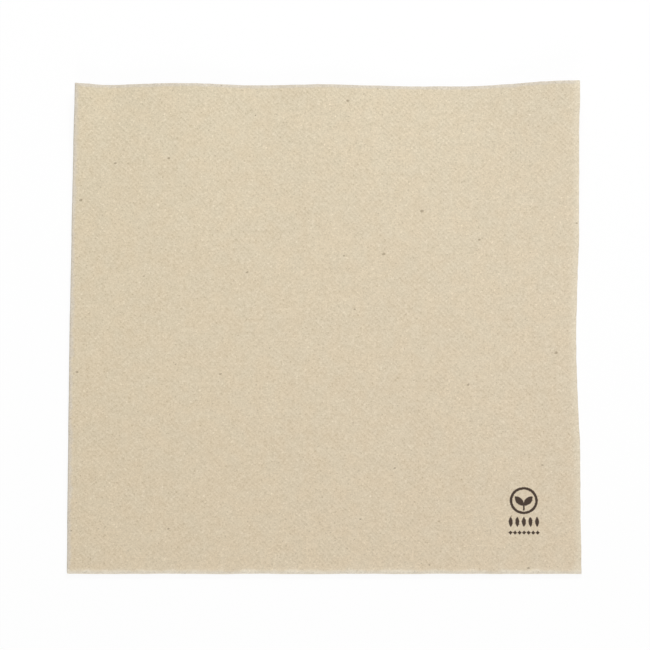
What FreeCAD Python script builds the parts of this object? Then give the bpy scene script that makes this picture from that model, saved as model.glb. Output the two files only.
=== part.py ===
import FreeCAD, Part
import math
import os

import Sketcher

# A lunch napkin of soft brown tissue, cut square and folded twice. The first fold closes it like a
# book along the left edge, and the second fold turns that pair of leaves over along the front edge,
# so four leaves lie on each other. They are all one sheet, so the napkin is one solid.
#
# Millimetres. +X is right, +Y is away from the second fold, +Z is up, and the lowest leaf lies flat
# on z = 0. Everything is drawn about the line that the second fold turns round. The finished napkin
# is then set down with the middle of its footprint at the origin.

os.makedirs("parts", exist_ok=True)
doc = FreeCAD.newDocument("folded_napkin")

# Driving sizes
SIZES = (
    ("cut_width", 330, "cut sheet, across the first fold"),
    ("cut_depth", 330, "cut sheet, across the second fold"),
    ("tissue", 0.36, "thickness of the embossed tissue"),
    ("leaf_air", 0.16, "air between the two leaves of a pair"),
    ("pair_air", 0.24, "air between the lower pair and the upper pair"),
    ("lean", 1.0, "how far the sides run out of square over the folded depth"),
    ("fold_bow", 0.4, "how far the upper pair's fold bows out at the middle"),
    ("lower_run_in", 2.8, "how far the lower leaves' right edge has run in at the back"),
    ("lower_short", 0.9, "how far the lower leaves end short of the top leaf at the back"),
    ("inner_short", 0.6, "how far the leaf under the top leaf ends short of it"),
    ("dip", 0.95, "how far the right edge is drawn in near its middle"),
    ("dip_place", 77, "place of that dip, from the front edge"),
    ("dip_spread", 41, "half width of that dip"),
    ("inner_share", 0.55, "lift of the inner leaf at the right, as a share of the top leaf's"),
    ("flick_lift", 3.6, "lift of the back left corner"),
    ("flick_spread", 13, "half width of that lift"),
    ("flick_reach", 40, "how far that lift reaches in from the back edge"),
    ("left_wave_lift", 3.4, "lift of the left wave in the back edge"),
    ("left_wave_place", 33, "place of the left wave, from the left edge"),
    ("left_wave_spread", 35, "half width of the left wave"),
    ("left_wave_reach", 85, "how far the left wave reaches in from the back edge"),
    ("middle_wave_lift", 2.1, "lift of the middle wave in the back edge"),
    ("middle_wave_place", 81, "place of the middle wave, from the left edge"),
    ("middle_wave_spread", 33, "half width of the middle wave"),
    ("middle_wave_reach", 75, "how far the middle wave reaches in from the back edge"),
    ("corner_lift", 6, "lift of the back right corner"),
    ("corner_spread", 40, "half width of that lift"),
    ("corner_reach", 80, "how far that lift reaches in from the back edge"),
)
sheet = doc.addObject("Spreadsheet::Sheet", "sizes")
for line, (name, value, meaning) in enumerate(SIZES, start=1):
    sheet.set(f"A{line}", meaning)
    sheet.set(f"B{line}", str(value))
    sheet.setAlias(f"B{line}", name)
doc.recompute()


def size(name):
    return float(sheet.get(name))


tissue = size("tissue")
leaf_air = size("leaf_air")
pair_height = 2 * tissue + leaf_air
bend_radius = tissue + leaf_air / 2
turn_radius = size("pair_air") / 2 + pair_height
leaf_width = size("cut_width") / 2
folded_depth = size("cut_depth") / 2
front_left = -(leaf_width + size("lean")) / 2

# The lower pair and the second fold
# One section across the pair of leaves is pushed back to make the lower pair, and turned half round
# to make the second fold. Its two level legs are joined at the left by a bend, which is the first
# fold: half round outside, and pressed to a square slit inside.
body = doc.addObject("PartDesign::Body", "lower_pair_and_second_fold")
origin = {item.Role: item for item in body.Origin.OriginFeatures}
section = body.newObject("Sketcher::SketchObject", "pair_section")
section.AttachmentSupport = [(origin["XZ_Plane"], "")]
section.MapMode = "FlatFace"


def level(x_from, x_to, z):
    return Part.LineSegment(FreeCAD.Vector(x_from, z, 0), FreeCAD.Vector(x_to, z, 0))


def upright(x, z_from, z_to):
    return Part.LineSegment(FreeCAD.Vector(x, z_from, 0), FreeCAD.Vector(x, z_to, 0))


def left_half_round(middle, radius):
    whole = Part.Circle(middle, FreeCAD.Vector(0, 0, 1), radius)
    return Part.ArcOfCircle(whole, math.pi / 2, 3 * math.pi / 2)


bend_x = front_left + bend_radius
tip_x = front_left + leaf_width
under_z = -turn_radius
over_z = under_z + tissue + leaf_air
bend_middle = FreeCAD.Vector(bend_x, under_z + bend_radius, 0)
section.addGeometry(
    [
        level(bend_x, tip_x, under_z),
        upright(tip_x, under_z, under_z + tissue),
        level(tip_x, bend_x, under_z + tissue),
        upright(bend_x, under_z + tissue, over_z),
        level(bend_x, tip_x, over_z),
        upright(tip_x, over_z, over_z + tissue),
        level(tip_x, bend_x, over_z + tissue),
        left_half_round(bend_middle, bend_radius),
    ],
    False,
)
UNDER, UNDER_TIP, UNDER_TOP, INSIDE, OVER, OVER_TIP, OVER_TOP, OUTSIDE = range(8)
START, END, CENTRE = 1, 2, 3
SKETCH_ORIGIN = (-1, 1)
X_AXIS = (-1,)

for flat in (UNDER, UNDER_TOP, OVER, OVER_TOP):
    section.addConstraint(Sketcher.Constraint("Horizontal", flat))
for tip in (UNDER_TIP, OVER_TIP, INSIDE):
    section.addConstraint(Sketcher.Constraint("Vertical", tip))
for before, after in (
    (UNDER, UNDER_TIP),
    (UNDER_TIP, UNDER_TOP),
    (UNDER_TOP, INSIDE),
    (INSIDE, OVER),
    (OVER, OVER_TIP),
    (OVER_TIP, OVER_TOP),
):
    section.addConstraint(Sketcher.Constraint("Coincident", before, END, after, START))
for leg, leg_end, bend_end in ((OVER_TOP, END, START), (UNDER, START, END)):
    section.addConstraint(Sketcher.Constraint("Tangent", leg, leg_end, OUTSIDE, bend_end))
section.addConstraint(Sketcher.Constraint("Vertical", UNDER_TIP, END, OVER_TIP, START))
section.addConstraint(Sketcher.Constraint("Vertical", INSIDE, START, OUTSIDE, CENTRE))


def hold(sketch, name, kind, start, end, formula):
    """Holds the distance from one point of a sketch to another at a formula of the sizes."""
    gap = sketch.getPoint(*end) - sketch.getPoint(*start)
    distance = gap.x if kind == "DistanceX" else gap.y
    place = sketch.addConstraint(Sketcher.Constraint(kind, *start, *end, distance))
    sketch.renameConstraint(place, name)
    sketch.setExpression(f"Constraints.{name}", formula)


BEND_RADIUS = "(sizes.tissue + sizes.leaf_air / 2)"
TURN_RADIUS = "(2 * sizes.tissue + sizes.leaf_air + sizes.pair_air / 2)"
TIP_FROM_MIDDLE = "(sizes.cut_width / 2 - sizes.lean) / 2"
BEND_FROM_MIDDLE = f"(sizes.cut_width / 2 + sizes.lean) / 2 - {BEND_RADIUS}"
UNDER_TIP_LOW, UNDER_TIP_HIGH = (UNDER_TIP, START), (UNDER_TIP, END)
OVER_TIP_LOW, OVER_TIP_HIGH = (OVER_TIP, START), (OVER_TIP, END)
hold(section, "under_tissue", "DistanceY", UNDER_TIP_LOW, UNDER_TIP_HIGH, "sizes.tissue")
hold(section, "over_tissue", "DistanceY", OVER_TIP_LOW, OVER_TIP_HIGH, "sizes.tissue")
hold(section, "air_between", "DistanceY", UNDER_TIP_HIGH, OVER_TIP_LOW, "sizes.leaf_air")
hold(section, "half_pair_air", "DistanceY", OVER_TIP_HIGH, SKETCH_ORIGIN, "sizes.pair_air / 2")
hold(section, "bend", "DistanceX", (OUTSIDE, CENTRE), SKETCH_ORIGIN, BEND_FROM_MIDDLE)
hold(section, "tip", "DistanceX", SKETCH_ORIGIN, UNDER_TIP_LOW, TIP_FROM_MIDDLE)

LOWER_RUN = f"(sizes.cut_depth / 2 - {TURN_RADIUS} - sizes.lower_short)"
lower_pair = body.newObject("PartDesign::Pad", "lower_pair")
lower_pair.Profile = section
lower_pair.UseCustomVector = True
lower_pair.AlongSketchNormal = True
lower_pair.Direction = FreeCAD.Vector(size("lean"), folded_depth, 0)
lower_pair.setExpression("Direction.x", "sizes.lean")
lower_pair.setExpression("Direction.y", "sizes.cut_depth / 2")
lower_pair.setExpression("Length", LOWER_RUN)

# The cut edge of the lower leaves runs in towards the back, so it stays hidden under the top leaf.
wedge = body.newObject("Sketcher::SketchObject", "run_in_wedge")
wedge.AttachmentSupport = [(origin["XY_Plane"], "")]
wedge.MapMode = "FlatFace"
wedge_tip = FreeCAD.Vector(tip_x, 0, 0)
wedge_right = wedge_tip + FreeCAD.Vector(size("lean") + size("lower_run_in"), folded_depth, 0)
wedge_left = wedge_right - FreeCAD.Vector(2 * size("lower_run_in"), 0, 0)
wedge.addGeometry(
    [
        Part.LineSegment(wedge_tip, wedge_right),
        Part.LineSegment(wedge_right, wedge_left),
        Part.LineSegment(wedge_left, wedge_tip),
    ],
    False,
)
OUTER_SIDE, BASE, CUT_SIDE = range(3)
for before, after in ((OUTER_SIDE, BASE), (BASE, CUT_SIDE), (CUT_SIDE, OUTER_SIDE)):
    wedge.addConstraint(Sketcher.Constraint("Coincident", before, END, after, START))
wedge.addConstraint(Sketcher.Constraint("Horizontal", BASE))
wedge.addConstraint(Sketcher.Constraint("PointOnObject", *(OUTER_SIDE, START), *X_AXIS))
hold(wedge, "tip_from_middle", "DistanceX", SKETCH_ORIGIN, (OUTER_SIDE, START), TIP_FROM_MIDDLE)
hold(wedge, "depth", "DistanceY", (OUTER_SIDE, START), (OUTER_SIDE, END), "sizes.cut_depth / 2")
hold(
    wedge,
    "outer_run",
    "DistanceX",
    (OUTER_SIDE, START),
    (OUTER_SIDE, END),
    "sizes.lean + sizes.lower_run_in",
)
hold(wedge, "base", "DistanceX", (BASE, END), (BASE, START), "2 * sizes.lower_run_in")

run_in = body.newObject("PartDesign::Pocket", "lower_run_in")
run_in.Profile = wedge
run_in.Type = "ThroughAll"
run_in.Midplane = True

second_fold = body.newObject("PartDesign::Revolution", "second_fold")
second_fold.Profile = section
second_fold.ReferenceAxis = (origin["X_Axis"], [""])
second_fold.Angle = 180
second_fold.Reversed = True
body.Tip = second_fold
doc.recompute()

# The upper pair
# It leaves the second fold level and rises in soft waves to its open edges, most of all at the back
# right corner. So each of its surfaces is a smooth one held by a net of points, with one row across
# the pair for every station along it, and surfaces that meet share their last row of points.
STATIONS = 13
POINTS_ACROSS = 25
upper_run = folded_depth - turn_radius
top_leaf_z = turn_radius - tissue
inner_leaf_z = size("pair_air") / 2
SWELLINGS = (
    ("flick", 0),
    ("left_wave", size("left_wave_place")),
    ("middle_wave", size("middle_wave_place")),
    ("corner", leaf_width),
)


def swell(distance, spread):
    """1 at no distance, falling smoothly to 0 at the spread on either side."""
    return math.cos(math.pi / 2 * min(1, abs(distance) / spread)) ** 2


def curl(distance, reach):
    """1 at the edge, falling to 0 at the reach, where the leaf lies level again."""
    return max(0, 1 - distance / reach) ** 2


def lift(from_left, from_back):
    """How far the top leaf stands above its level place."""
    return sum(
        size(f"{name}_lift")
        * swell(from_left - place, size(f"{name}_spread"))
        * curl(from_back, size(f"{name}_reach"))
        for name, place in SWELLINGS
    )


def even_knots(count):
    """Multiplicities, knots and degree of a smooth curve held by so many points."""
    degree = min(3, count - 1)
    spans = count - degree
    return [degree + 1] + [1] * (spans - 1) + [degree + 1], list(range(spans + 1)), degree


def even_pace(count):
    """Shares of the way at which so many points hold a curve that runs along at an even pace."""
    mults, knots, degree = even_knots(count)
    ends = [knot for knot, times in zip(knots, mults) for time in range(times)]
    return [sum(ends[place + 1 : place + 1 + degree]) / degree / ends[-1] for place in range(count)]


def leaf_row(along, short, share_at_right, underside):
    """Points across the underside of one leaf, at a share of the way along the upper pair."""
    level_y = along * upper_run
    fold = front_left + size("lean") * level_y / folded_depth
    fold -= size("fold_bow") * math.sin(math.pi * along)
    dip = size("dip") * swell(level_y + turn_radius - size("dip_place"), size("dip_spread"))
    tip = fold + leaf_width - dip - short * math.sin(math.pi / 2 * along)
    row = []
    for across in even_pace(POINTS_ACROSS):
        x = fold + bend_radius + across * (tip - fold - bend_radius)
        y = level_y - short * along * math.sin(math.pi / 2 * across)
        share = 1 + (share_at_right - 1) * across
        z = underside + share * lift(x - fold, upper_run - level_y)
        row.append(FreeCAD.Vector(x, y, z))
    return row


def raised(rows):
    """The same net, one thickness of tissue higher."""
    return [[point + FreeCAD.Vector(0, 0, tissue) for point in row] for row in rows]


def outside_row(top, bottom):
    """Points that hold the half-round outside of the first fold, from its top to its bottom."""
    out = FreeCAD.Vector(-bend_radius, 0, 0)
    return [top, top + out, (top + bottom) / 2 + out, bottom + out, bottom]


def net_face(rows, half_round=False):
    """A face held by rows of points, whose rows are smooth curves or half circles."""
    along_mults, along_knots, along_degree = even_knots(len(rows))
    if half_round:
        quarter = math.sqrt(0.5)
        pulls = [[1, quarter, 1, quarter, 1] for row in rows]
        mults, knots, degree = [3, 2, 3], [0, 1, 2], 2
    else:
        pulls = [[1] * len(row) for row in rows]
        mults, knots, degree = even_knots(len(rows[0]))
    surface = Part.BSplineSurface()
    surface.buildFromPolesMultsKnots(
        rows, along_mults, mults, along_knots, knots, False, False, along_degree, degree, pulls
    )
    return surface.toShape()


def strip_face(first_rows, second_rows, place):
    """The narrow face between two nets along one of their sides."""
    return net_face([[row[place] for row in first_rows], [row[place] for row in second_rows]])


def fold_end(row, corners):
    """The flat half disc that closes the first fold at one end of the upper pair."""
    round_side = Part.Arc(row[0], row[2], row[4]).toShape()
    straight_side = [Part.makeLine(one, other) for one, other in zip(corners, corners[1:])]
    return Part.Face(Part.Wire([round_side] + straight_side))


stations = even_pace(STATIONS)
top_under = [leaf_row(station, 0, 1, top_leaf_z) for station in stations]
inner_under = [
    leaf_row(station, size("inner_short"), size("inner_share"), inner_leaf_z)
    for station in stations
]
top_over = raised(top_under)
inner_over = raised(inner_under)
outside = [outside_row(top[0], bottom[0]) for top, bottom in zip(top_over, inner_under)]

faces = [net_face(rows) for rows in (top_under, top_over, inner_under, inner_over)]
faces.append(net_face(outside, half_round=True))
faces.append(strip_face(top_under, inner_over, 0))
for under, over in ((top_under, top_over), (inner_under, inner_over)):
    faces.append(strip_face(under, over, -1))
    faces += [net_face([under[end], over[end]]) for end in (0, -1)]
for end in (0, -1):
    corners = [net[end][0] for net in (top_over, top_under, inner_over, inner_under)]
    faces.append(fold_end(outside[end], corners))
shell = Part.Shell(faces)
shell.sewShape()
upper_pair = doc.addObject("Part::Feature", "upper_pair")
upper_pair.Shape = Part.Solid(shell)
upper_pair.Placement = FreeCAD.Placement()

# The napkin as it lies, all one sheet
napkin = doc.addObject("Part::MultiFuse", "folded_napkin")
napkin.Label = "folded_napkin"
napkin.Shapes = [body, upper_pair]
napkin.setExpression("Placement.Base.y", f"{TURN_RADIUS} - sizes.cut_depth / 4")
napkin.setExpression("Placement.Base.z", TURN_RADIUS)
doc.recompute()

for item in doc.Objects:
    faults = {"Invalid", "Error"} & set(item.State)
    if faults:
        raise RuntimeError(f"{item.Name} is {', '.join(sorted(faults))}")
for item in (body, upper_pair, napkin):
    if item.Shape.isNull() or not item.Shape.isValid():
        raise RuntimeError(f"{item.Name} has no valid shape")
if len(napkin.Shape.Solids) != 1:
    raise RuntimeError("the napkin is not one solid")

box = napkin.Shape.optimalBoundingBox()
print(f"{napkin.Label}: {box.XLength:.2f} x {box.YLength:.2f} x {box.ZLength:.2f} mm")
print(f"volume {napkin.Shape.Volume / 1000:.2f} cm3, {len(napkin.Shape.Faces)} faces")
napkin.Shape.exportStep(f"parts/{napkin.Label}.step")
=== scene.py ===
# %% [markdown]
# # A folded paper napkin
# This lesson dresses a lunch napkin of soft brown tissue. It was cut square, embossed all over with
# small bumps, and folded twice, so that four leaves lie on each other. The construction model gives
# a plain solid of it, and here that solid is replaced by a finer sheet with a paper finish.
# We start by loading the frame, because every size that follows has to stay inside its box.

# %% Load the frame
import math

import bpy
import numpy as np
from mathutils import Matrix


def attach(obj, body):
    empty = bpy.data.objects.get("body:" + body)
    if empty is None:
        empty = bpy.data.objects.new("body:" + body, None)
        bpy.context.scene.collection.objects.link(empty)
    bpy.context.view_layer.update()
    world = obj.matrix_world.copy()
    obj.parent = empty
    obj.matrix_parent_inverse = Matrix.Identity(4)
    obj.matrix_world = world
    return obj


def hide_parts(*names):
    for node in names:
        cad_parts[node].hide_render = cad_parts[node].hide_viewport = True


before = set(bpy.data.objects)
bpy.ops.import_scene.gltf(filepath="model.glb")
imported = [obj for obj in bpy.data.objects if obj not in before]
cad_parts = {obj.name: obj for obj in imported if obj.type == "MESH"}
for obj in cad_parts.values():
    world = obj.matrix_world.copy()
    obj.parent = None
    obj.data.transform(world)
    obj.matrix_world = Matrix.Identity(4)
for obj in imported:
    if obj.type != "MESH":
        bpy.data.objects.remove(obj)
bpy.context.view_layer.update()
MM = 0.001

# %% [markdown]
# ## The sheet
# The real sheet is 330 mm square and is folded in half twice. The first fold closes it like a book
# along the left edge, and the second turns that pair of leaves over along the front edge. We work in
# millimetres and keep the construction model's own sizes, so both models are the same napkin.

# %% Name the sizes
CUT = 330
LEAF = CUT / 2
TISSUE = 0.36
LEAF_AIR = 0.16
PAIR_AIR = 0.24
LEAN = 1.0
FOLD_BOW = 0.4
LOWER_RUN_IN = 2.8
LOWER_SHORT = 0.9
INNER_SHORT = 0.6
INNER_SHARE = 0.55
DIP, DIP_PLACE, DIP_SPREAD = 0.95, 77, 41

PAIR_HEIGHT = 2 * TISSUE + LEAF_AIR
BEND_RADIUS = TISSUE + LEAF_AIR / 2
TURN_RADIUS = PAIR_HEIGHT + PAIR_AIR / 2
UPPER_RUN = LEAF - TURN_RADIUS
LOWER_RUN = LEAF - TURN_RADIUS - LOWER_SHORT
FRONT_LEFT = -(LEAF + LEAN) / 2
TURN_Y = TURN_RADIUS - LEAF / 2
print("height of the four pressed leaves:", 2 * TURN_RADIUS, "mm")

# %% [markdown]
# ## How the open edges lift
# Tissue is springy, so the open back edge of the upper leaves rises in shallow waves, and its right
# corner curls up most. Each rise is a smooth hump across the leaf, which dies away towards the front.
# Cloth simulation could give such waves, but not in the places where the real ones are, so we add
# four humps of known height, place and width.

# %% Waves of the open edges
RISES = (
    # lift, place from the left edge, half width, reach in from the back edge
    (3.6, 0, 13, 40),
    (3.4, 33, 35, 85),
    (2.1, 81, 33, 75),
    (6.0, LEAF, 40, 80),
)


def swell(distance, spread):
    """1 at no distance, falling smoothly to 0 at the spread on either side."""
    return np.cos(np.pi / 2 * np.minimum(1, np.abs(distance) / spread)) ** 2


def curl(distance, reach):
    """1 at an edge, falling to 0 at the reach, where the leaf lies level again."""
    return np.maximum(0, 1 - distance / reach) ** 2


def lift(from_left, from_back):
    """How far the top leaf stands above its level place."""
    return sum(
        height * swell(from_left - place, spread) * curl(from_back, reach)
        for height, place, spread, reach in RISES
    )


print("lift of the back right corner:", round(float(lift(LEAF, 0)), 2), "mm")

# %% [markdown]
# ## Small unevenness
# Nothing in a napkin is quite straight: the cut edges are a little ragged, the folds wander, and the
# leaves cockle. A few sine waves of random length and phase, added up, make such a line or surface.
# The random numbers come from a seed, so the napkin is the same at every run.

# %% Random waves
chance = np.random.default_rng(11)


def wander(shortest, longest, count=9):
    """A smooth random function of a place or two, with values mostly between -1 and 1."""
    lengths = chance.uniform(shortest, longest, count)
    turns = chance.uniform(0, 2 * np.pi, count)
    phases = chance.uniform(0, 2 * np.pi, count)

    def value(x, y=0.0):
        waves = [
            np.sin(2 * np.pi * (x * np.cos(turn) + y * np.sin(turn)) / length + phase)
            for length, turn, phase in zip(lengths, turns, phases)
        ]
        return sum(waves) * math.sqrt(2 / count) / 2

    return value


cockle = wander(14, 45)
right_ragged = wander(2.5, 14)
back_ragged = wander(2.5, 14)
left_wander = wander(5, 30)
front_wander = wander(5, 30)
gaping = wander(25, 70)
print("cockle at the middle:", round(float(cockle(0, 0)), 2))

# %% [markdown]
# ## Where the grid lines run
# The mesh is a grid drawn on the open sheet. One set of lines runs across the first fold and one
# across the second. A leaf is nearly flat, so lines 2.2 mm apart are enough there, while each fold is
# a half circle under a millimetre across and needs a line for every few degrees. Two extra lines on
# each side of a fold keep the smooth shading of the bend from spreading into the flat leaf.

# %% Grid lines over two leaves and the fold between them
LINE_GAP = 2.2
FOLD_STEPS = 12


def lines_of_a_leaf(run):
    """Distances from the fold to the open edge: close at both ends, even between them."""
    close = [0, 0.25, 0.7]
    even = np.linspace(2, run - 2, round((run - 4) / LINE_GAP) + 1)
    return np.array([*close, *even, run - 0.9, run - 0.35, run])


def lines_over_a_fold(first_run, second_run):
    """For each line: which stretch it is on (1 leaf, 0 fold, -1 other leaf) and how far along."""
    first = [(1, distance) for distance in lines_of_a_leaf(first_run)[::-1]]
    turn = [(0, step / FOLD_STEPS) for step in range(1, FOLD_STEPS)]
    second = [(-1, distance) for distance in lines_of_a_leaf(second_run)]
    return np.array(first + turn + second)


across = lines_over_a_fold(LEAF - BEND_RADIUS, LEAF - BEND_RADIUS)
along = lines_over_a_fold(UPPER_RUN, LOWER_RUN)
print("grid:", len(across), "by", len(along), "lines")

# %% [markdown]
# ## Where a point of the sheet lies
# Folding is a recipe with two steps. First we lay out the cross section of one pair of leaves, which
# gives a distance from the left edge and a height inside the pair. Then we follow the pair: level on
# top, round the front, and level again underneath. A point is given by its two grid lines and by its
# side of the sheet, and numpy works out all of them at once.

# %% Split the grid lines into stretches and distances
side_stretch, side_at = across[:, :1], across[:, 1:]
run_stretch, run_at = along[:, :1].T, along[:, 1:].T
on_top, beneath, in_turn = run_stretch == 1, run_stretch == -1, run_stretch == 0
in_bend = side_stretch == 0
is_inner = (side_stretch == -1) & on_top

share = np.where(in_bend, 0, side_at / (LEAF - BEND_RADIUS))
run = np.where(in_turn, 0, run_at)
way = run / UPPER_RUN
print("lines on the top leaf:", int(on_top.sum()), "and round the front:", int(in_turn.sum()))

# %% [markdown]
# ## The sides of the folded square
# The napkin isn't a perfect square. The left fold leans and bows out a little, the right edge dips in
# near its middle, and the leaves underneath end a little short of the top one. All of this is a shift
# of x that depends only on how far along the napkin we are, so we work it out once for every line.

# %% The left fold and the open right edge
LEFT_WANDER = 0.07
fold_x = FRONT_LEFT + LEAN * run / LEAF + LEFT_WANDER * left_wander(run * run_stretch)
fold_x = fold_x - np.where(on_top, FOLD_BOW * np.sin(np.pi * way), 0)
dip = np.where(on_top, DIP * swell(run + TURN_RADIUS - DIP_PLACE, DIP_SPREAD), 0)
run_in = np.where(beneath, LOWER_RUN_IN * run / LEAF, 0)
short = np.where(is_inner, INNER_SHORT * np.sin(np.pi / 2 * way), 0)
leaf_width = LEAF - dip - run_in - short
print("narrowest leaf, mm:", round(float(leaf_width.min()), 2))

# %% [markdown]
# The four leaves also gape a little at the open right edge, where nothing holds them: the lowest
# stays down and each one above it stands a little higher. This is hard to see from above, but from
# the side it turns a solid block into four leaves of paper. The very rim of the top leaf droops
# again, and so it catches the light along the right side. Near the folds nothing can rise, so every
# rise starts from nought there with a smooth step.

# %% Rises that don't depend on the side of the sheet
LOOSE_FROM, LOOSE_REACH = 45, 32
GAPE, GAPE_CHANGE = 0.09, 0.05
DROOP, DROOP_FROM, DROOP_REACH = 0.13, 20, 2.8
COCKLE, FLAT_AT_FRONT, FLAT_AT_SIDE = 0.07, 12, 8
LEAVES_APART = 90


def smooth_step(value):
    """0 below nought, 1 above one, and a smooth slope between them."""
    value = np.clip(value, 0, 1)
    return value * value * (3 - 2 * value)


leaf_rank = np.where(on_top, np.where(side_stretch == -1, 2, 3), np.where(side_stretch == 1, 0, 1))
from_open_side = LEAF * (1 - share)
loose = smooth_step(run / LOOSE_FROM) * curl(from_open_side, LOOSE_REACH)
gape = leaf_rank * loose * (GAPE + GAPE_CHANGE * gaping(run, LEAVES_APART * leaf_rank))
top_leaf = on_top & (side_stretch == 1)
droop = np.where(top_leaf, DROOP * curl(from_open_side, DROOP_REACH), 0)
droop = droop * smooth_step(run / DROOP_FROM)
from_fold = BEND_RADIUS + share * leaf_width
waves = lift(from_fold, UPPER_RUN - run) * np.where(is_inner, 1 + (INNER_SHARE - 1) * share, 1)
away_from_folds = smooth_step(run / FLAT_AT_FRONT) * smooth_step(from_fold / FLAT_AT_SIDE)
cockles = COCKLE * away_from_folds * cockle(from_fold, run)
rise = gape - droop + np.where(on_top, waves + cockles, 0)
print("highest rise, mm:", round(float(rise.max()), 2))

# %% [markdown]
# ## Fold the two sides of the sheet
# Now every number is ready, and the folding itself is short. We do it twice, for the outer and the
# inner side of the sheet, which differ only in how far they lie from the middle of each fold. The
# raggedness of the cuts is added here too. A high power of the distance keeps it to the very edge.

# %% Fold the sheet, one side at a time
RAGGED, FRONT_WANDER = 0.08, 0.08
FADE_FROM_SIDE, FADE_FROM_BACK = 12, 40
SIDES_APART = 40


def folded(bend_radius):
    """The places of all grid points on one side of the sheet, in millimetres."""
    bend = np.pi * side_at
    height = np.where(in_bend, bend_radius * np.cos(bend), side_stretch * bend_radius)
    push = np.where(in_bend, bend_radius * np.sin(bend), 0)
    x = fold_x + BEND_RADIUS - push + share * (leaf_width - BEND_RADIUS)
    x = x + RAGGED * share**FADE_FROM_SIDE * right_ragged(run, SIDES_APART * side_stretch)

    from_turn = PAIR_AIR / 2 + PAIR_HEIGHT / 2 + height
    turn = np.pi * run_at
    ahead = (from_turn + FRONT_WANDER * front_wander(x)) * np.sin(turn)
    y = np.where(in_turn, TURN_Y - ahead, TURN_Y + run)
    y = y - np.where(is_inner, INNER_SHORT * way * np.sin(np.pi / 2 * share), 0)
    y = y + RAGGED * way**FADE_FROM_BACK * back_ragged(x)
    up = np.where(in_turn, from_turn * np.cos(turn), run_stretch * from_turn)
    z = TURN_RADIUS + up + rise
    return np.stack(np.broadcast_arrays(x, y, z), axis=-1)


outer_side = folded(BEND_RADIUS)
inner_side = folded(LEAF_AIR / 2)
print("outer side spans, mm:", np.ptp(outer_side.reshape(-1, 3), axis=0).round(2))

# %% [markdown]
# ## The cut edge
# Napkin tissue has two plies that are only pressed together, so a cut edge shows two soft round lips
# with a fine groove between them. We walk once round the border of the grid and give every border
# point a small profile from the outer side to the inner one. Because the walk closes on itself, the
# sheet becomes one watertight skin.

# %% Profile of the cut edge
LIPS = (
    # share of the thickness, and how far it stands out in mm
    (0.10, 0.04),
    (0.28, 0.06),
    (0.50, -0.08),
    (0.72, 0.06),
    (0.90, 0.04),
)
rows, columns = outer_side.shape[:2]
border = [(row, 0) for row in range(rows)]
border += [(rows - 1, column) for column in range(1, columns)]
border += [(row, columns - 1) for row in range(rows - 2, -1, -1)]
border += [(0, column) for column in range(columns - 2, 0, -1)]
border = np.array(border)
inward = np.clip(border, 1, [rows - 2, columns - 2])
middle = (outer_side + inner_side) / 2
away = middle[tuple(border.T)] - middle[tuple(inward.T)]
away = away / np.linalg.norm(away, axis=1, keepdims=True)
outer_rim, inner_rim = outer_side[tuple(border.T)], inner_side[tuple(border.T)]
lips = [outer_rim + part * (inner_rim - outer_rim) + out * away for part, out in LIPS]
print("border points:", len(border))

# %% Join both sides and the cut edge into one skin
number = np.arange(rows * columns).reshape(rows, columns)
quads = np.stack([number[:-1, :-1], number[1:, :-1], number[1:, 1:], number[:-1, 1:]], axis=-1)
quads = quads.reshape(-1, 4)
points = np.concatenate([outer_side.reshape(-1, 3), inner_side.reshape(-1, 3), *lips])
rim = number[tuple(border.T)]
first_lip = 2 * rows * columns
rings = [rim, *(first_lip + ring * len(rim) + np.arange(len(rim)) for ring in range(len(lips)))]
rings.append(rim + rows * columns)
strips = [
    np.stack([ring, next_ring, np.roll(next_ring, -1), np.roll(ring, -1)], axis=-1)
    for ring, next_ring in zip(rings, rings[1:])
]
faces = np.concatenate([quads, quads + rows * columns, *strips])

mesh = bpy.data.meshes.new("napkin tissue")
mesh.from_pydata((points * MM).tolist(), [], faces.tolist())
napkin = bpy.data.objects.new("napkin", mesh)
bpy.context.collection.objects.link(napkin)
print("points:", len(mesh.vertices), "faces:", len(mesh.polygons))

# %% [markdown]
# A closed skin needs all its faces turned outwards, or light and thickness come out wrong. Blender
# can work that out by itself for a watertight mesh, and smooth shading then hides the facets.

# %% Turn the faces outwards and shade them smooth
import bmesh

skin = bmesh.new()
skin.from_mesh(mesh)
bmesh.ops.recalc_face_normals(skin, faces=skin.faces)
open_edges = sum(not edge.is_manifold for edge in skin.edges)
volume = skin.calc_volume(signed=True)
skin.to_mesh(mesh)
skin.free()
mesh.polygons.foreach_set("use_smooth", [True] * len(mesh.polygons))
print("open edges:", open_edges, "volume, cm3:", round(volume * 1e6, 2))

# %% [markdown]
# ## A map of the open sheet
# The sheet was made, embossed and printed flat, and folded after that. So its patterns should follow
# the paper round the folds. We keep for every point where it was on the open sheet, in metres from
# the crossing of the two folds, and store that as a UV map. The hidden inner side gets its own
# stretch of pattern one metre further on, so that nothing printed outside shows through there. The
# narrow faces of the cut edge stay with the outer stretch all the way round, because a face that
# spanned the metre between the two would squeeze a whole metre of pattern into itself.

# %% Store the places on the open sheet
half_bend, half_turn = np.pi * BEND_RADIUS / 2, np.pi * TURN_RADIUS / 2
sheet_x = np.where(in_bend, half_bend * (1 - 2 * side_at), side_stretch * (half_bend + side_at))
sheet_y = np.where(in_turn, half_turn * (1 - 2 * run_at), run_stretch * (half_turn + run_at))
on_sheet = np.stack(np.broadcast_arrays(sheet_x, sheet_y), axis=-1)
rim_on_sheet = on_sheet[tuple(border.T)]
INNER_SHIFT = 1000
flat_places = np.concatenate(
    [on_sheet.reshape(-1, 2), on_sheet.reshape(-1, 2) + INNER_SHIFT]
    + [rim_on_sheet + part * TISSUE * np.sign(rim_on_sheet) for part, out in LIPS]
)
corner_points = np.zeros(len(mesh.loops), dtype=np.int32)
mesh.loops.foreach_get("vertex_index", corner_points)
corner_places = flat_places[corner_points]
on_cut_edge = np.arange(len(corner_points)) >= 2 * quads.size
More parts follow.
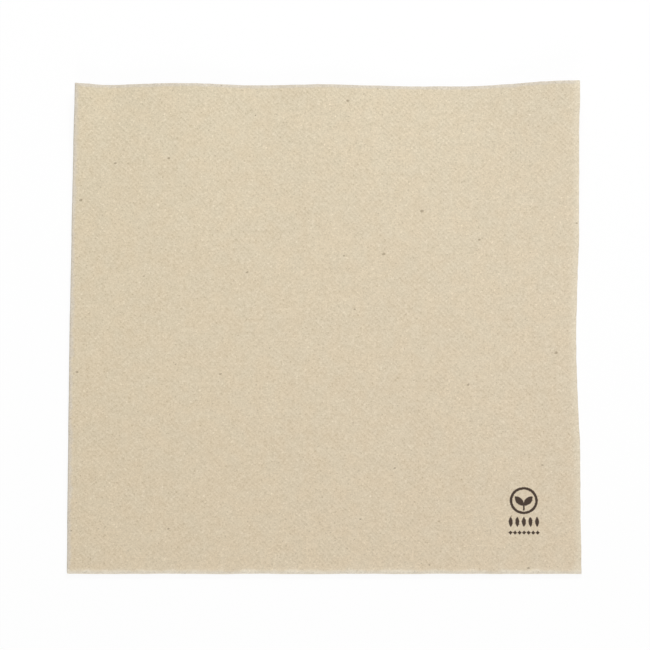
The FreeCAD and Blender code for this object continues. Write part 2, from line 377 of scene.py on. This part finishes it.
last_ring = on_cut_edge & (corner_places[:, 0] > CUT)
corner_places[last_ring] -= INNER_SHIFT
corner_places[last_ring] += TISSUE * np.sign(corner_places[last_ring])
open_sheet = mesh.uv_layers.new(name="open sheet")
open_sheet.data.foreach_set("uv", (corner_places * MM).ravel())
print("open sheet, mm:", np.ptp(on_sheet.reshape(-1, 2), axis=0).round(1))

# %% [markdown]
# ## Wiring a material by formula
# The paper's pattern is arithmetic on that map: noise for fibres, waves for the embossing, distances
# for the print. Dragging hundreds of nodes together by hand is slow, so a few small helpers make the
# nodes and the links. Each takes plain numbers or other nodes' outputs and hands back an output.

# %% Helpers that make nodes
paper = bpy.data.materials.new("embossed brown tissue")
paper.use_nodes = True
tree = paper.node_tree
shader = tree.nodes["Principled BSDF"]


def feed(socket, value):
    """Links an output to a socket, or sets the socket to a plain number."""
    if isinstance(value, bpy.types.NodeSocket):
        tree.links.new(value, socket)
    else:
        socket.default_value = value


def calc(operation, *values):
    """The result of one math node."""
    node = tree.nodes.new("ShaderNodeMath")
    node.operation = operation
    for socket, value in zip(node.inputs, values):
        feed(socket, value)
    return node.outputs[0]


def ramp(value, start, end, low=0.0, high=1.0):
    """Follows a value from start to end with a soft slope from low to high."""
    node = tree.nodes.new("ShaderNodeMapRange")
    node.interpolation_type = "SMOOTHSTEP"
    for name, setting in zip(
        ("Value", "From Min", "From Max", "To Min", "To Max"), (value, start, end, low, high)
    ):
        feed(node.inputs[name], setting)
    return node.outputs["Result"]


def blend(share, first, second):
    """A colour between two others, or between two outputs."""
    node = tree.nodes.new("ShaderNodeMix")
    node.data_type = "RGBA"
    feed(node.inputs["Factor"], share)
    feed(node.inputs["A"], first)
    feed(node.inputs["B"], second)
    return node.outputs["Result"]


uv_node = tree.nodes.new("ShaderNodeUVMap")
uv_node.uv_map = open_sheet.name
sheet_place = uv_node.outputs["UV"]
print("material:", paper.name)

# %% [markdown]
# ## Tissue formation
# Hold a napkin up and the pulp looks cloudy, because the fibres didn't settle evenly. Recycled pulp
# also mixes fibres of many colours, so there are faint warmer and cooler patches a few millimetres
# wide. We use noise at four sizes: patches for the hue, clouds and flock for the tone, and a grain
# of single fibres.

# %% Patches, clouds and grain
def noise(size, detail=2.0, roughness=0.5, shift=0.0):
    """Soft noise around 0.5 whose features are about so many millimetres wide."""
    node = tree.nodes.new("ShaderNodeTexNoise")
    node.noise_dimensions = "3D"
    offset = tree.nodes.new("ShaderNodeVectorMath")
    offset.operation = "ADD"
    feed(offset.inputs[0], sheet_place)
    offset.inputs[1].default_value = (0, 0, shift * MM)
    feed(node.inputs["Vector"], offset.outputs[0])
    node.inputs["Scale"].default_value = 1 / (size * MM)
    node.inputs["Detail"].default_value = detail
    node.inputs["Roughness"].default_value = roughness
    return node.outputs["Fac"]


WARMER = (0.695, 0.597, 0.432, 1)
COOLER = (0.689, 0.602, 0.443, 1)
hue_patches = ramp(noise(5.5, detail=1, shift=40), 0.3, 0.7)
base_colour = blend(hue_patches, WARMER, COOLER)
clouds = noise(3.5, detail=2, shift=80)
flock = noise(1.15, detail=2, shift=100)
grain = noise(0.5, detail=3, roughness=0.6, shift=120)
print("patches 5.5 mm, clouds 3.5 mm, flock 1.15 mm, grain 0.5 mm")

# %% [markdown]
# ## Fibres and specks
# Single fibres and bits of old print are what makes recycled tissue look like itself. A Voronoi
# texture drops one random point in each cell of a grid, so the distance to that point draws a dot.
# Squeezed in one direction the dot becomes a fibre, and a random pick of cells keeps them sparse.

# %% Scatter dots and fibres
WOBBLE = 1.1
SHIFT_BACK = 0.7
SMALLEST, SIZE_RANGE = 0.5, 0.7


def scatter(cell, size, picked, turn, slender, bend, shift):
    """A mask of marks so many mm in size, in a picked share of cells so many mm wide."""
    mapping = tree.nodes.new("ShaderNodeMapping")
    mapping.vector_type = "TEXTURE"
    warp = tree.nodes.new("ShaderNodeVectorMath")
    warp.operation = "MULTIPLY_ADD"
    wobble = tree.nodes.new("ShaderNodeTexNoise")
    feed(wobble.inputs["Vector"], sheet_place)
    wobble.inputs["Scale"].default_value = 1 / (WOBBLE * MM)
    feed(warp.inputs[0], wobble.outputs["Color"])
    warp.inputs[1].default_value = (bend * MM, bend * MM, 0)
    feed(warp.inputs[2], sheet_place)
    feed(mapping.inputs["Vector"], warp.outputs[0])
    mapping.inputs["Location"].default_value = (shift * MM, shift * MM * SHIFT_BACK, 0)
    mapping.inputs["Rotation"].default_value = (0, 0, math.radians(turn))
    mapping.inputs["Scale"].default_value = (cell * slender * MM, cell * MM, 1)
    cells = tree.nodes.new("ShaderNodeTexVoronoi")
    cells.voronoi_dimensions = "2D"
    cells.inputs["Scale"].default_value = 1.0
    feed(cells.inputs["Vector"], mapping.outputs["Vector"])
    pick = tree.nodes.new("ShaderNodeSeparateColor")
    feed(pick.inputs[0], cells.outputs["Color"])
    own_size = calc("ADD", calc("MULTIPLY", pick.outputs[1], SIZE_RANGE), SMALLEST)
    reach = calc("MULTIPLY", own_size, size / cell / 2)
    nearness = calc("DIVIDE", cells.outputs["Distance"], reach)
    mark = ramp(nearness, 0.6, 1.1, 1.0, 0.0)
    return calc("MULTIPLY", mark, calc("LESS_THAN", pick.outputs[0], picked))


specks = scatter(cell=11, size=0.8, picked=0.2, slender=1.4, turn=15, bend=0.7, shift=3)
flecks = scatter(cell=3.6, size=0.42, picked=0.38, slender=1.3, turn=35, bend=0.4, shift=17)
pale_fibres = scatter(cell=0.9, size=0.14, picked=0.55, turn=25, slender=9, bend=0.5, shift=31)
crossing_fibres = scatter(cell=0.9, size=0.12, picked=0.55, turn=118, slender=8, bend=0.5, shift=47)
dark_fibres = scatter(cell=1.7, size=0.13, picked=0.4, turn=74, slender=7, bend=0.6, shift=59)
pale_crumbs = scatter(cell=1.25, size=0.5, picked=0.2, turn=50, slender=1.3, bend=0.3, shift=73)
dark_crumbs = scatter(cell=1.3, size=0.5, picked=0.2, turn=140, slender=1.3, bend=0.3, shift=89)
print("seven layers of marks")

# %% [markdown]
# ## Embossing
# A steel roll presses a square lattice of small bumps into the tissue, turned 45 degrees to the
# sheet, 1.15 mm from bump to bump. Two crossed waves give that relief. It is a few hundredths of a
# millimetre deep, far finer than the mesh, so it goes into the shading as a bump and not into the
# mesh. The roll bites unevenly, and so some patches are crisp and others nearly smooth. The relief
# is pressed out a little along the folds. To measure how far a place is from a fold, we first wrap
# the map by a metre, so that the inner side has its folds and edges in the same places.

# %% Two crossed waves
EMBOSS_PITCH = 1.146
place_parts = tree.nodes.new("ShaderNodeSeparateXYZ")
feed(place_parts.inputs[0], sheet_place)
right_of_fold, back_of_fold = place_parts.outputs["X"], place_parts.outputs["Y"]
WAVE = 2 * math.pi / (EMBOSS_PITCH * math.sqrt(2) * MM)
rising = calc("SINE", calc("MULTIPLY", calc("ADD", right_of_fold, back_of_fold), WAVE))
falling = calc("SINE", calc("MULTIPLY", calc("SUBTRACT", right_of_fold, back_of_fold), WAVE))


def from_fold_in_mm(place_part):
    """How far a place is from a fold, on the outer side and on the inner side alike."""
    return calc("DIVIDE", calc("ABSOLUTE", calc("WRAP", place_part, 0.5, -0.5)), MM)


from_side_fold, from_front_fold = from_fold_in_mm(right_of_fold), from_fold_in_mm(back_of_fold)
at_side_fold = ramp(from_side_fold, 0.9, 2.4, 1.0, 0.0)
at_front_fold = ramp(from_front_fold, 1.6, 4.6, 1.0, 0.0)
pressed = calc("MAXIMUM", at_side_fold, at_front_fold)
bite = ramp(noise(7, shift=150), 0.33, 0.67, 0.2, 1.6)
PRESSED_OUT = 0.4
depth = calc("SUBTRACT", bite, calc("MULTIPLY", pressed, PRESSED_OUT))
FALLING_RELIEF, FALLING_SHADE = 1.68, 0.455
emboss = calc("MULTIPLY", calc("MULTIPLY_ADD", falling, FALLING_RELIEF, rising), depth)
# The same two waves, the falling one weaker, are painted into the tone as the shade that the back
# right light casts on the ridges.
ridge_shade = calc("MULTIPLY", calc("MULTIPLY_ADD", falling, FALLING_SHADE, rising), depth)
print("embossing every", EMBOSS_PITCH, "mm")

# %% [markdown]
# ## The print
# The real napkin carries a small dark mark near its front right corner. A generic ornament of the
# same size and ink takes its place: a ring with a sprig of two leaves, and under it a row of upright
# leaves and a row of diamonds. Each shape is a signed distance, a number that is negative inside the
# shape and grows outside it. Shapes are joined by taking the smaller distance, and the ink is then a
# soft step at zero. The ink breaks up a little where the tissue's fibres stand proud.

# %% Shapes as signed distances, in millimetres
MARK_RIGHT, MARK_BACK = 147.05, 24.7
mark_x = calc("SUBTRACT", calc("DIVIDE", right_of_fold, MM), MARK_RIGHT)
mark_y = calc("SUBTRACT", calc("DIVIDE", back_of_fold, MM), MARK_BACK)


def disc(x, y, centre_x, centre_y, radius):
    """Negative inside a circle."""
    across_x, across_y = calc("SUBTRACT", x, centre_x), calc("SUBTRACT", y, centre_y)
    square_x, square_y = calc("MULTIPLY", across_x, across_x), calc("MULTIPLY", across_y, across_y)
    return calc("SUBTRACT", calc("SQRT", calc("ADD", square_x, square_y)), radius)


def leaf_shape(x, y, root_x, root_y, turn, length, width):
    """A pointed leaf: the part that two equal discs share."""
    radius = (length**2 + width**2) / (4 * width)
    along_x, along_y = math.cos(math.radians(turn)), math.sin(math.radians(turn))
    centre_x, centre_y = root_x + along_x * length / 2, root_y + along_y * length / 2
    off = radius - width / 2
    one = disc(x, y, centre_x - along_y * off, centre_y + along_x * off, radius)
    other = disc(x, y, centre_x + along_y * off, centre_y - along_x * off, radius)
    return calc("MAXIMUM", one, other)


def block(x, y, centre_x, centre_y, half_width, half_height):
    """Negative inside a rectangle."""
    side = calc("SUBTRACT", calc("ABSOLUTE", calc("SUBTRACT", x, centre_x)), half_width)
    end = calc("SUBTRACT", calc("ABSOLUTE", calc("SUBTRACT", y, centre_y)), half_height)
    return calc("MAXIMUM", side, end)


print("middle of the ring, mm right of and behind the folds:", MARK_RIGHT, MARK_BACK)

# %% [markdown]
# Equal shapes in a row don't have to be drawn one by one. A ping-pong node lets the distance along the
# row run back and forth between nought and half a step, so every place in the row sees the same
# numbers, and one leaf shape gives a whole row. A block around the row cuts off those too many.

# %% Draw the ornament
RING_RADIUS, RING_HALF_WIDTH = 4.1, 0.42
SPRIG_ROOT, SPRIG_LEAF, SPRIG_LEAF_WIDTH = -1.7, 4.2, 2.1
STEM_MIDDLE, STEM_HALF_WIDTH, STEM_HALF_LENGTH = -2.2, 0.28, 1.1
LEAF_STEP, LEAVES, LEAF_ROOT, LEAF_LENGTH, LEAF_WIDTH = 2.12, 5, -8.8, 3.4, 1.3
DIAMOND_STEP, DIAMONDS, DIAMOND_MIDDLE, DIAMOND_HALF = 1.46, 7, -10.7, 0.68
FAR_LEFT = 100


def in_row(step):
    """Distance from the middle of the nearest place in a row, so one shape is drawn many times."""
    return calc("PINGPONG", calc("ADD", mark_x, FAR_LEFT * step), step / 2)


ring = calc("ABSOLUTE", disc(mark_x, mark_y, 0, 0, RING_RADIUS))
ring = calc("SUBTRACT", ring, RING_HALF_WIDTH)
sprig = [
    leaf_shape(mark_x, mark_y, 0, SPRIG_ROOT, turn, SPRIG_LEAF, SPRIG_LEAF_WIDTH)
    for turn in (48, 132)
]
sprig.append(block(mark_x, mark_y, 0, STEM_MIDDLE, STEM_HALF_WIDTH, STEM_HALF_LENGTH))
leaf_row = leaf_shape(in_row(LEAF_STEP), mark_y, 0, LEAF_ROOT, 90, LEAF_LENGTH, LEAF_WIDTH)
row_middle = LEAF_ROOT + LEAF_LENGTH / 2
around = block(mark_x, mark_y, 0, row_middle, LEAVES * LEAF_STEP / 2, 2)
leaf_row = calc("MAXIMUM", leaf_row, around)
low_row = calc("ABSOLUTE", calc("SUBTRACT", mark_y, DIAMOND_MIDDLE))
low_row = calc("SUBTRACT", calc("ADD", in_row(DIAMOND_STEP), low_row), DIAMOND_HALF)
around = block(mark_x, mark_y, 0, DIAMOND_MIDDLE, DIAMONDS * DIAMOND_STEP / 2, 1)
low_row = calc("MAXIMUM", low_row, around)
ornament = ring
for shape in [*sprig, leaf_row, low_row]:
    ornament = calc("MINIMUM", ornament, shape)
BREAK_UP, INK_COVER = 0.4, 0.98
ink_edge = calc("ADD", ornament, calc("MULTIPLY", calc("SUBTRACT", grain, 0.5), BREAK_UP))
ink = ramp(ink_edge, -0.1, 0.12, INK_COVER, 0.0)
print("ring", round(2 * (RING_RADIUS + RING_HALF_WIDTH), 1), "mm wide")

# %% [markdown]
# ## Colour, gloss and relief
# Now the layers go together. Tone is a number near nought that every layer of pulp pushes up or down,
# and a nearly grey share of it is added to the base colour. Two of its layers are painted light and
# shade: the embossed ridges are painted darker one way, as the back right light shades them, and a
# pale band along the front fold is painted light. Two slow shifts of colour follow, a painted tint of
# the light: the paper gets a little redder towards the front fold and a little less yellow towards the
# right edge. Specks and ink are mixed over it.
# Tissue has no gloss to speak of, so roughness stays high and only the ink is a little smoother. All
# relief is one height, which the bump node turns into a slight tilt of the surface.

# %% Tone of the pulp
GRAIN_TONE, GRAIN_CONTRAST = 0.44, 9
single = calc("SUBTRACT", grain, 0.5)
contrast = calc("MULTIPLY", calc("MULTIPLY", single, single), GRAIN_CONTRAST)
contrast = calc("ADD", contrast, GRAIN_TONE)
tone = calc("MULTIPLY", single, contrast)
layers = (
    (calc("SUBTRACT", clouds, 0.5), 0.1),
    (calc("SUBTRACT", flock, 0.5), 0.31),
    (calc("ADD", pale_fibres, crossing_fibres), 0.06),
    (dark_fibres, -0.085),
    (calc("SUBTRACT", pale_crumbs, dark_crumbs), 0.13),
    # painted shade of the embossed ridges
    (ridge_shade, 0.0099),
    # painted light: a pale lift along the front fold
    (ramp(from_front_fold, 1.6, 3.8, 1.0, 0.0), 0.02),
)
for layer, weight in layers:
    tone = calc("MULTIPLY_ADD", layer, weight, tone)


def shifted(amount, direction, start):
    """A colour moved by an amount in one direction."""
    node = tree.nodes.new("ShaderNodeVectorMath")
    node.operation = "MULTIPLY_ADD"
    feed(node.inputs[0], amount)
    node.inputs[1].default_value = direction
    feed(node.inputs[2], start)
    return node.outputs[0]


PULP_TONE = (0.69, 0.65, 0.57)
REDDER, LESS_YELLOW = (0.018, 0, -0.004), (0, 0, 0.011)
toned = shifted(tone, PULP_TONE, base_colour)
# Painted tint of the light: redder towards the front fold, less yellow towards the right edge.
near_front = calc("SUBTRACT", 1, calc("DIVIDE", from_front_fold, LEAF))
toned = shifted(near_front, REDDER, toned)
toned = shifted(calc("DIVIDE", from_side_fold, LEAF), LESS_YELLOW, toned)
print("layers in the tone:", 1 + len(layers))

# %% [markdown]
# Folds and cut edges are rubbed in packing and handling. Short fibres stand up there like fuzz, and
# they look greyer than the flat paper, in a band about a millimetre wide. At the open right edge the
# band is wider and paler, partly fuzz and partly painted light where that edge faces the light. Along
# the front fold a nearly white band is painted light, which lifts the shade on the round of the fold.
# No such band is as straight as a ruler, so noise moves its limit in and out by a few tenths of a
# millimetre, and half as far at the back edge, which is cut more cleanly. The pulp's tone goes into
# these colours too, or the bands would look painted on. The knife also squeezes the tissue, so the
# relief fades out on the face of the cut.

# %% Rubbed edges, with painted light at the right edge and the front fold
GREYED = (0.660, 0.605, 0.525)
# paler colour of the right edge: partly fuzz, partly painted light
PALED = (0.772, 0.691, 0.540)
# painted light for the round of the front fold
FRONT_FOLD_LIGHT = (0.911, 0.832, 0.689)
from_right_edge = calc("SUBTRACT", LEAF, from_side_fold)
from_back_edge = calc("SUBTRACT", LEAF, from_front_fold)
SLOW_UNEVENNESS, FINE_UNEVENNESS = 1.8, 1.2
uneven = calc("MULTIPLY", calc("SUBTRACT", noise(3, shift=170), 0.5), SLOW_UNEVENNESS)
uneven = calc("MULTIPLY_ADD", calc("SUBTRACT", flock, 0.5), FINE_UNEVENNESS, uneven)


def fuzz_and_light_band(distance, solid, end, cover, unevenness=1.0):
    """Full cover up to one distance from the edge, and an uneven fall to nothing at another."""
    return ramp(calc("MULTIPLY_ADD", uneven, unevenness, distance), solid, end, cover, 0.0)


side_band = fuzz_and_light_band(from_side_fold, 0.7, 1.9, 0.8)
back_band = fuzz_and_light_band(from_back_edge, 0.05, 0.75, 0.8, unevenness=0.5)
grey_fuzz = calc("MAXIMUM", side_band, back_band)
# partly fuzz, partly painted light where the right edge faces the light
pale_fuzz_and_light = fuzz_and_light_band(from_right_edge, 0.1, 2.6, 0.7)
# painted light: a nearly white band that lifts the shade on the round of the front fold
front_fold_light = fuzz_and_light_band(from_front_fold, 0.6, 2.05, 1.0)
edge_cover = ramp(flock, 0.2, 0.8, 0.75, 1.0)
# The bands mix rubbed fuzz with painted light at the right edge and the front fold.
rubbed_and_lit = toned
for edge_mask, edge_colour in ((grey_fuzz, GREYED), (pale_fuzz_and_light, PALED), (front_fold_light, FRONT_FOLD_LIGHT)):
    edge_toned = shifted(tone, PULP_TONE, edge_colour)
    rubbed_and_lit = blend(calc("MULTIPLY", edge_mask, edge_cover), rubbed_and_lit, edge_toned)
RELIEF_ON_CUT = 0.3
from_cut = calc("MINIMUM", from_right_edge, from_back_edge)
relief_share = ramp(from_cut, -0.05, 0.15, RELIEF_ON_CUT, 1.0)
print("rubbed along two folds and two cut edges")

# %% [markdown]
# Last in the colour come the specks, the smaller flecks and the ink, each mixed in where its mask is.
# Then the relief of embossing, grain and flock is added up and handed to one bump node.

# %% Put the paper together
SPECK_BROWN = (0.235, 0.175, 0.105, 1)
FLECK_BROWN = (0.42, 0.34, 0.235, 1)
INK_BROWN = (0.040, 0.022, 0.014, 1)
FLECK_COVER, SPECK_COVER = 0.5, 0.55
DULL, GRAIN_DULL, INK_SMOOTH = 0.86, 0.12, 0.2
colour = blend(calc("MULTIPLY", flecks, FLECK_COVER), rubbed_and_lit, FLECK_BROWN)
colour = blend(calc("MULTIPLY", specks, SPECK_COVER), colour, SPECK_BROWN)
colour = blend(ink, colour, INK_BROWN)
feed(shader.inputs["Base Color"], colour)
dullness = calc("ADD", DULL, calc("MULTIPLY", grain, GRAIN_DULL))
feed(shader.inputs["Roughness"], calc("SUBTRACT", dullness, calc("MULTIPLY", ink, INK_SMOOTH)))
shader.inputs["Specular IOR Level"].default_value = 0.25

EMBOSS_HEIGHT, GRAIN_HEIGHT, FLOCK_HEIGHT = 0.0141, 0.035, 0.03
height = calc("MULTIPLY", emboss, EMBOSS_HEIGHT)
height = calc("ADD", height, calc("MULTIPLY", grain, GRAIN_HEIGHT))
height = calc("ADD", height, calc("MULTIPLY", flock, FLOCK_HEIGHT))
height = calc("MULTIPLY", height, relief_share)
bump = tree.nodes.new("ShaderNodeBump")
bump.inputs["Strength"].default_value = 1.0
bump.inputs["Distance"].default_value = MM
feed(bump.inputs["Height"], height)
feed(shader.inputs["Normal"], bump.outputs["Normal"])
mesh.materials.append(paper)
print("nodes in the paper:", len(tree.nodes))

# %% [markdown]
# ## Floor
# The napkin lies on a plain white floor. A studio floor photographs as pure white, so where the
# camera sees it we mix in a white glow of strength 1. What is left of the plain floor still shows a
# soft shadow, and light that bounces off the floor is not changed.

# %% A helper for surfaces that look white to the camera
def seen_directly(node_tree):
    """1 for rays from the camera, a mirror or clear glass, and 0 for light that bounces about."""
    path = node_tree.nodes.new("ShaderNodeLightPath")
    total = path.outputs["Is Camera Ray"]
    for kind in ("Is Glossy Ray", "Is Transmission Ray"):
        either = node_tree.nodes.new("ShaderNodeMath")
        either.operation = "MAXIMUM"
        node_tree.links.new(total, either.inputs[0])
        node_tree.links.new(path.outputs[kind], either.inputs[1])
        total = either.outputs[0]
    return total


print("the floor and the room will both use it")

# %% Lay the floor
FLOOR_HALF = 4.0
FLOOR_BELOW = 0.1 * MM
FLOOR_WHITE = (0.95, 0.95, 0.95, 1)
GLOW_SHARE = 0.92
corners = [(-1, -1), (1, -1), (1, 1), (-1, 1)]
floor_points = [(x * FLOOR_HALF, y * FLOOR_HALF, -FLOOR_BELOW) for x, y in corners]
floor_mesh = bpy.data.meshes.new("floor")
floor_mesh.from_pydata(floor_points, [], [(0, 1, 2, 3)])
floor = bpy.data.objects.new("floor", floor_mesh)
bpy.context.collection.objects.link(floor)
white = bpy.data.materials.new("white floor")
white.use_nodes = True
floor_tree = white.node_tree
plain = floor_tree.nodes["Principled BSDF"]
plain.inputs["Base Color"].default_value = FLOOR_WHITE
plain.inputs["Roughness"].default_value = 1.0
plain.inputs["Specular IOR Level"].default_value = 0.0
glow = floor_tree.nodes.new("ShaderNodeEmission")
glow.inputs["Strength"].default_value = 1.0
glow_share = floor_tree.nodes.new("ShaderNodeMath")
glow_share.operation = "MULTIPLY"
glow_share.inputs[1].default_value = GLOW_SHARE
mixer = floor_tree.nodes.new("ShaderNodeMixShader")
floor_tree.links.new(seen_directly(floor_tree), glow_share.inputs[0])
floor_tree.links.new(glow_share.outputs[0], mixer.inputs["Fac"])
floor_tree.links.new(plain.outputs[0], mixer.inputs[1])
floor_tree.links.new(glow.outputs[0], mixer.inputs[2])
floor_tree.links.new(mixer.outputs[0], floor_tree.nodes["Material Output"].inputs["Surface"])
floor_mesh.materials.append(white)
print("floor", 2 * FLOOR_HALF, "m wide")

# %% [markdown]
# ## Light
# The photograph is lit softly from all round, a little stronger from the back and the right: that
# side of the napkin is paler, and the ridges that face it catch the light. A large area light stands
# there. A weaker one in front of the table opens up the shade under the front fold, and the world is
# an even white fill. Together they light a level surface at about strength 1, at which a colour
# renders as it is written.

# %% Hang the lights
from mathutils import Vector


def softbox(name, place, size, power):
    """A round area light that faces the napkin."""
    light = bpy.data.lights.new(name, "AREA")
    light.shape = "DISK"
    light.size = size
    light.energy = power
    lamp = bpy.data.objects.new(name, light)
    lamp.location = place
    lamp.rotation_euler = (-Vector(place)).to_track_quat("-Z", "Y").to_euler()
    bpy.context.collection.objects.link(lamp)


softbox("back light", (0.16, 0.56, 0.75), 0.6, 6.1)
softbox("front light", (0.0, -3.5, 1.9), 1.5, 40.0)
print("two soft lights")

# %% Fill from the white room
FILL = 0.378
world = bpy.data.worlds.new("white room")
bpy.context.scene.world = world
world.use_nodes = True
sky = world.node_tree.nodes["Background"]
sky.inputs["Color"].default_value = (1, 1, 1, 1)
sky_strength = world.node_tree.nodes.new("ShaderNodeMapRange")
sky_strength.inputs["To Min"].default_value = FILL
sky_strength.inputs["To Max"].default_value = 1.0
world.node_tree.links.new(seen_directly(world.node_tree), sky_strength.inputs["Value"])
world.node_tree.links.new(sky_strength.outputs[0], sky.inputs["Strength"])
print("fill", FILL)

# %% [markdown]
# ## Camera
# The photograph looks down at 72.8 degrees from the front through a long lens: opposite edges of the
# napkin stay nearly parallel. Distance, height and lens were fitted to the four corners.

# %% Set up the camera
DISTANCE, ELEVATION, LENS = 2.4, 72.8, 409.8
AIM_RIGHT, AIM_BACK = -0.00018, 0.00139
view_angle = math.radians(ELEVATION)
eye = bpy.data.cameras.new("camera")
eye.lens = LENS
eye.sensor_width = 36
eye.clip_start, eye.clip_end = 0.05, 30
camera = bpy.data.objects.new("camera", eye)
camera.location = (
    AIM_RIGHT,
    AIM_BACK - DISTANCE * math.cos(view_angle),
    DISTANCE * math.sin(view_angle),
)
camera.rotation_euler = (math.pi / 2 - view_angle, 0, 0)
bpy.context.collection.objects.link(camera)
bpy.context.scene.camera = camera
bpy.context.scene.view_settings.view_transform = "Standard"
print("camera at", [round(value, 3) for value in camera.location])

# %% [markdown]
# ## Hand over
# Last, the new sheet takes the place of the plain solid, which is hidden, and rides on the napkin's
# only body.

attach(napkin, "root")
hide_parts("folded_napkin")
